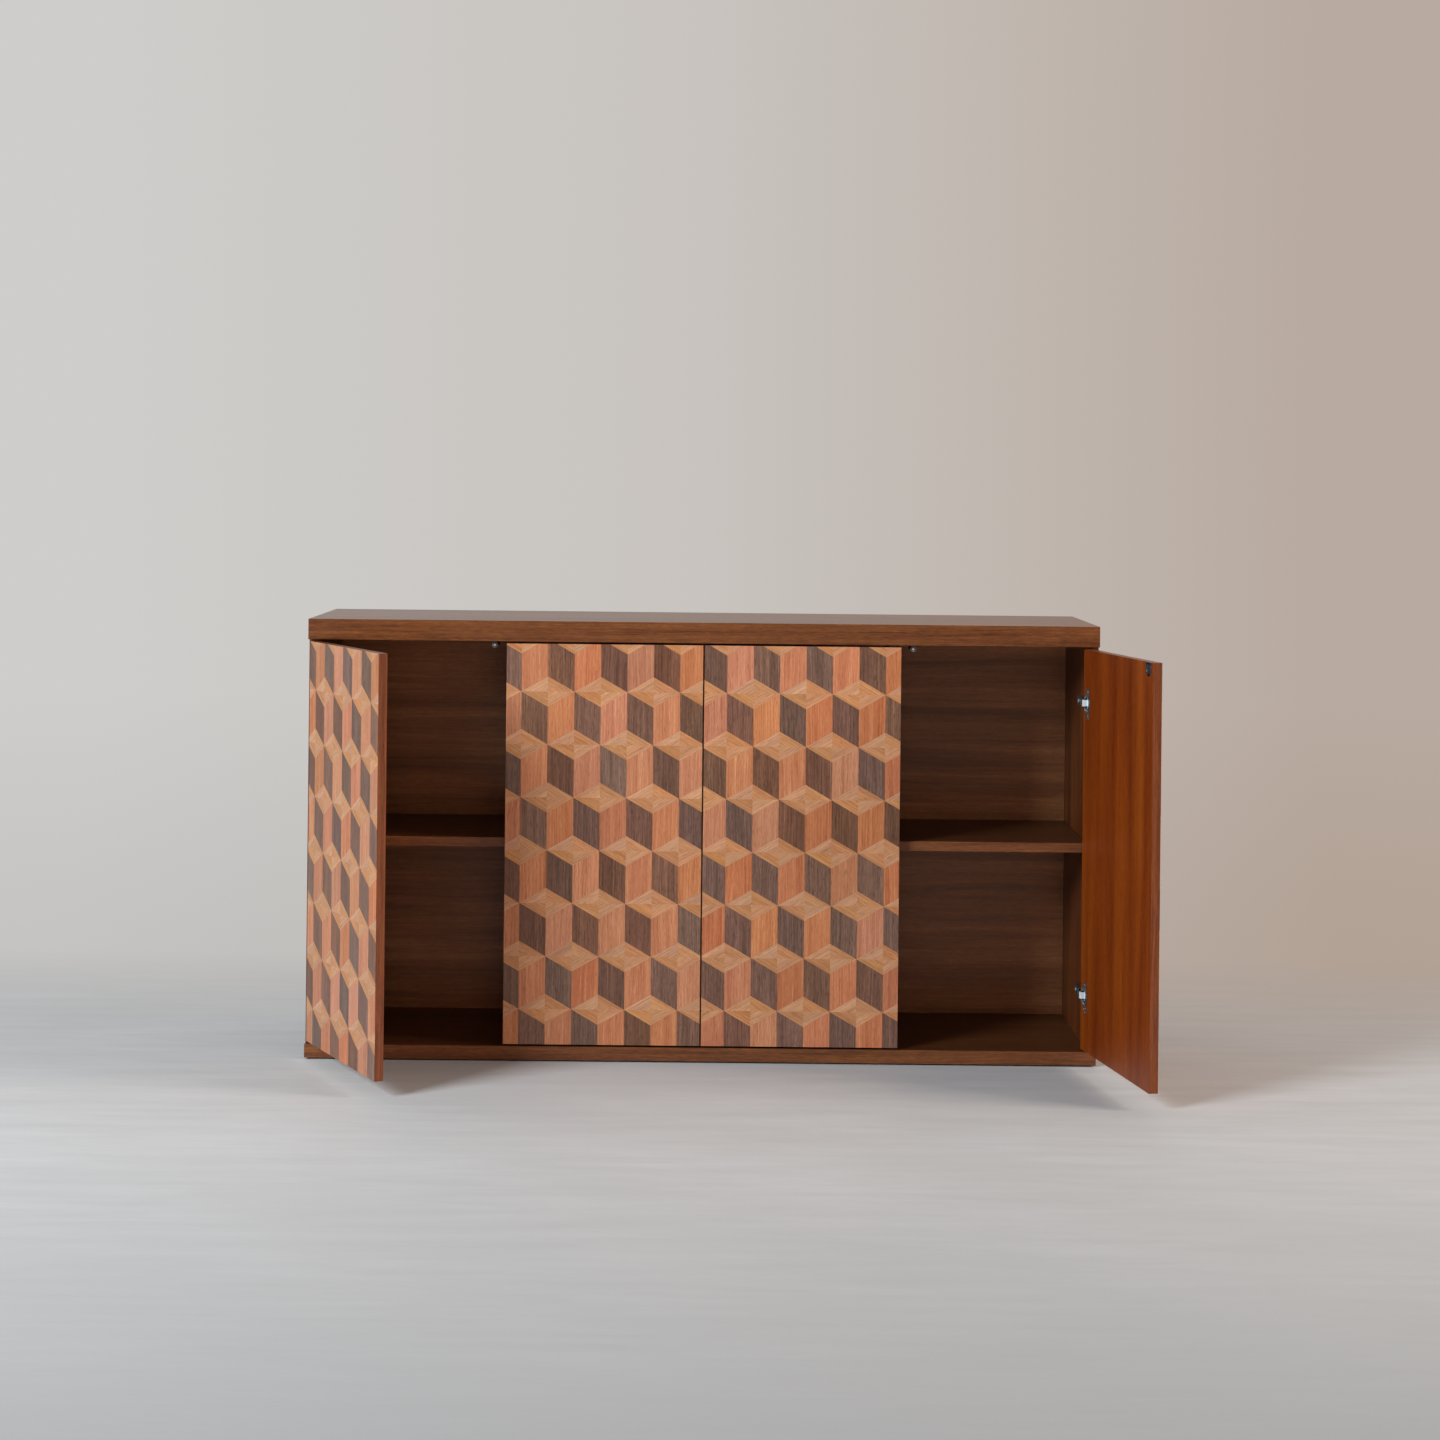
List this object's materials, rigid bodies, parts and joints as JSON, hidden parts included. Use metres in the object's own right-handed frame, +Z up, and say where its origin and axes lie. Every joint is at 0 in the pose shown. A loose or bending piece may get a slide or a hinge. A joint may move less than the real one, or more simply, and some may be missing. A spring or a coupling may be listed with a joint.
{
  "type": "sideboard cabinet",
  "caption": "Low wide cabinet with flush hinged doors in tumbling-block marquetry, shelves inside, concealed hinges and push latches.",
  "frame": {"origin": "on the floor under the middle of the plan of the carcass, on the middle glide", "axes": "+X to the viewer's right, +Y to the back, +Z up; the doors face -Y"},
  "size_m": [1.6612, 0.7766, 0.89],
  "materials": {
    "carcass_walnut": "satin lacquered dark walnut",
    "back_walnut": "satin lacquered walnut veneer, grain level",
    "walnut_veneer": "satin lacquered grey-brown walnut veneer",
    "red_veneer": "satin lacquered pink-red veneer",
    "light_veneer": "satin lacquered light veneer",
    "inner_veneer": "satin lacquered orange-brown veneer",
    "door_lipping": "satin lacquered brown edging",
    "board_core": "raw board, covered",
    "dowel_beech": "raw beech",
    "hinge_steel": "nickel-plated",
    "latch_chrome": "polished",
    "strike_steel": "dark coated",
    "fastener_steel": "zinc-plated",
    "glide_plastic": "matte"
  },
  "bodies": {
    "carcass": {"back_panel": "back_walnut", "back_screws": "fastener_steel", "bottom_board": "carcass_walnut", "carcass_dowels": "dowel_beech", "glides": "glide_plastic", "hinge_arms": "hinge_steel", "hinge_plate_screws": "hinge_steel", "hinge_plates": "hinge_steel", "latch_housings": "latch_chrome", "partition": "carcass_walnut", "shelf_left": "carcass_walnut", "shelf_pins": "fastener_steel", "shelf_right": "carcass_walnut", "side_left": "carcass_walnut", "side_right": "carcass_walnut", "top_board": "carcass_walnut"},
    "hinge_link_1": {"hinge_links_1": "hinge_steel"},
    "door_1": {"door_1_core": "board_core", "door_1_hinge_cups": "hinge_steel", "door_1_inner_veneer": "inner_veneer", "door_1_lipping": "door_lipping", "door_1_strike": "strike_steel", "door_1_veneer_light": "light_veneer", "door_1_veneer_red": "red_veneer", "door_1_veneer_walnut": "walnut_veneer"},
    "plunger_1": {"latch_plunger_1": "latch_chrome"},
    "hinge_link_2": {"hinge_links_2": "hinge_steel"},
    "door_2": {"door_2_core": "board_core", "door_2_hinge_cups": "hinge_steel", "door_2_inner_veneer": "inner_veneer", "door_2_lipping": "door_lipping", "door_2_strike": "strike_steel", "door_2_veneer_light": "light_veneer", "door_2_veneer_red": "red_veneer", "door_2_veneer_walnut": "walnut_veneer"},
    "plunger_2": {"latch_plunger_2": "latch_chrome"},
    "hinge_link_3": {"hinge_links_3": "hinge_steel"},
    "door_3": {"door_3_core": "board_core", "door_3_hinge_cups": "hinge_steel", "door_3_inner_veneer": "inner_veneer", "door_3_lipping": "door_lipping", "door_3_strike": "strike_steel", "door_3_veneer_light": "light_veneer", "door_3_veneer_red": "red_veneer", "door_3_veneer_walnut": "walnut_veneer"},
    "plunger_3": {"latch_plunger_3": "latch_chrome"},
    "hinge_link_4": {"hinge_links_4": "hinge_steel"},
    "door_4": {"door_4_core": "board_core", "door_4_hinge_cups": "hinge_steel", "door_4_inner_veneer": "inner_veneer", "door_4_lipping": "door_lipping", "door_4_strike": "strike_steel", "door_4_veneer_light": "light_veneer", "door_4_veneer_red": "red_veneer", "door_4_veneer_walnut": "walnut_veneer"},
    "plunger_4": {"latch_plunger_4": "latch_chrome"}
  },
  "joints": [
    {"name": "door_1_link", "type": "hinge", "parent": "carcass", "child": "hinge_link_1", "pos_m": [-0.7765, -0.172, 0.445], "axis": [0, 0, -1], "range_deg": [-16.8, 24.75]},
    {"name": "door_1_hinge", "type": "hinge", "parent": "hinge_link_1", "child": "door_1", "pos_m": [-0.78262, -0.19236, 0.445], "axis": [0, 0, -1], "range_deg": [-87.15, 58.8]},
    {"name": "latch_1_plunger", "type": "slide", "parent": "carcass", "child": "plunger_1", "axis": [0, 1, 0], "range_m": [0, 0.0025], "stiffness_N_per_m": 900},
    {"name": "door_2_link", "type": "hinge", "parent": "carcass", "child": "hinge_link_2", "pos_m": [-0.0235, -0.172, 0.445], "axis": [0, 0, 1], "range_deg": [-35.4, 0.3]},
    {"name": "door_2_hinge", "type": "hinge", "parent": "hinge_link_2", "child": "door_2", "pos_m": [-0.0095, -0.188, 0.445], "axis": [0, 0, 1], "range_deg": [0, 125.1]},
    {"name": "latch_2_plunger", "type": "slide", "parent": "carcass", "child": "plunger_2", "axis": [0, 1, 0], "range_m": [0, 0.0025], "stiffness_N_per_m": 900},
    {"name": "door_3_link", "type": "hinge", "parent": "carcass", "child": "hinge_link_3", "pos_m": [0.0235, -0.172, 0.445], "axis": [0, 0, -1], "range_deg": [-35.4, 0.3]},
    {"name": "door_3_hinge", "type": "hinge", "parent": "hinge_link_3", "child": "door_3", "pos_m": [0.0095, -0.188, 0.445], "axis": [0, 0, -1], "range_deg": [0, 125.1]},
    {"name": "latch_3_plunger", "type": "slide", "parent": "carcass", "child": "plunger_3", "axis": [0, 1, 0], "range_m": [0, 0.0025], "stiffness_N_per_m": 900},
    {"name": "door_4_link", "type": "hinge", "parent": "carcass", "child": "hinge_link_4", "pos_m": [0.7765, -0.172, 0.445], "axis": [0, 0, 1], "range_deg": [-1.98, 39.57]},
    {"name": "door_4_hinge", "type": "hinge", "parent": "hinge_link_4", "child": "door_4", "pos_m": [0.77721, -0.19325, 0.445], "axis": [0, 0, 1], "range_deg": [-139.97, 5.98]},
    {"name": "latch_4_plunger", "type": "slide", "parent": "carcass", "child": "plunger_4", "axis": [0, 1, 0], "range_m": [0, 0.0025], "stiffness_N_per_m": 900}
  ],
  "couplings": [
    {"joint": "door_1_link", "follows": "door_1_hinge", "ratio": -0.28058},
    {"joint": "door_2_link", "follows": "door_2_hinge", "ratio": -0.28058},
    {"joint": "door_3_link", "follows": "door_3_hinge", "ratio": -0.28058},
    {"joint": "door_4_link", "follows": "door_4_hinge", "ratio": -0.28058}
  ]
}
